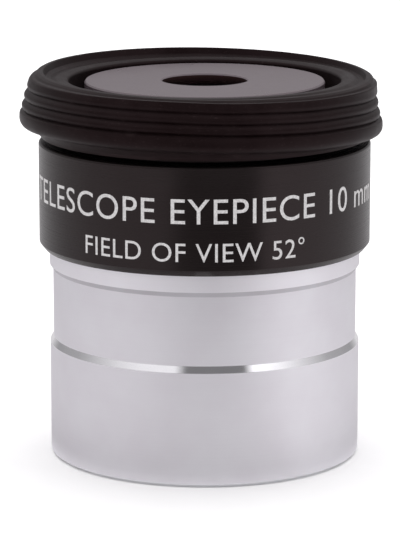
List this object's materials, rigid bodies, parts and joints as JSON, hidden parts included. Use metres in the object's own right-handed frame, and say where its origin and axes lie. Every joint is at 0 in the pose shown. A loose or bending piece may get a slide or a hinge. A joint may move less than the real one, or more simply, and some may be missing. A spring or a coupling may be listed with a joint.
{
  "type": "telescope eyepiece",
  "caption": "Push-fit telescope eyepiece: chromed barrel with undercut, black screwed housing, flat eye plate, symmetrical doublet optics and a ribbed rubber eyecup that folds.",
  "frame": {"origin": "centre of the barrel's open end, on the plane it stands on", "axes": "+Z along the optical axis from the barrel's open end to the eye; -Y is the side with the marking"},
  "size_m": [0.0368, 0.0368, 0.0391],
  "materials": {
    "satin_chrome": "satin, turned, with polished bevels",
    "black_anodised": "satin black anodised aluminium",
    "grey_anodised": "fine bead-blasted, anodised dark grey",
    "inner_black": "matte black anodised aluminium",
    "coated_glass": "polished, anti-reflection coated",
    "eyecup_rubber": "matte moulded rubber",
    "marking_fill": "pale paint filled into engraving"
  },
  "bodies": {
    "barrel": {"barrel": "satin_chrome", "field_stop": "inner_black"},
    "lens_stack": {"eye_flint": "coated_glass", "eye_crown": "coated_glass", "doublet_spacer": "inner_black", "field_crown": "coated_glass", "field_flint": "coated_glass"},
    "housing": {"housing": "black_anodised", "eye_plate": "grey_anodised", "lens_cell": "inner_black", "cell_retaining_ring": "inner_black"},
    "eyecup": {"eyecup_body": "eyecup_rubber", "eyecup_skirt": "eyecup_rubber"},
    "eyecup_rim": {"eyecup_rim": "eyecup_rubber"}
  },
  "joints": [
    {"name": "housing_rise", "type": "slide", "parent": "barrel", "child": "lens_stack", "axis": [0, 0, 1], "range_m": [0, 0.0036]},
    {"name": "housing_unscrew", "type": "hinge", "parent": "lens_stack", "child": "housing", "pos_m": [0, 0, 0.0215], "axis": [0, 0, 1], "range_deg": [0, 1728]},
    {"name": "eyecup_turn", "type": "hinge", "parent": "housing", "child": "eyecup", "pos_m": [0, 0, 0.0334], "axis": [0, 0, 1], "continuous": true},
    {"name": "eyecup_fold", "type": "slide", "parent": "eyecup", "child": "eyecup_rim", "axis": [0, 0, 1], "range_m": [0, 0.01], "deforming": ["eyecup_skirt"]}
  ],
  "couplings": [
    {"joint": "housing_rise", "follows": "housing_unscrew", "m_per_rad": 0.00011937}
  ]
}
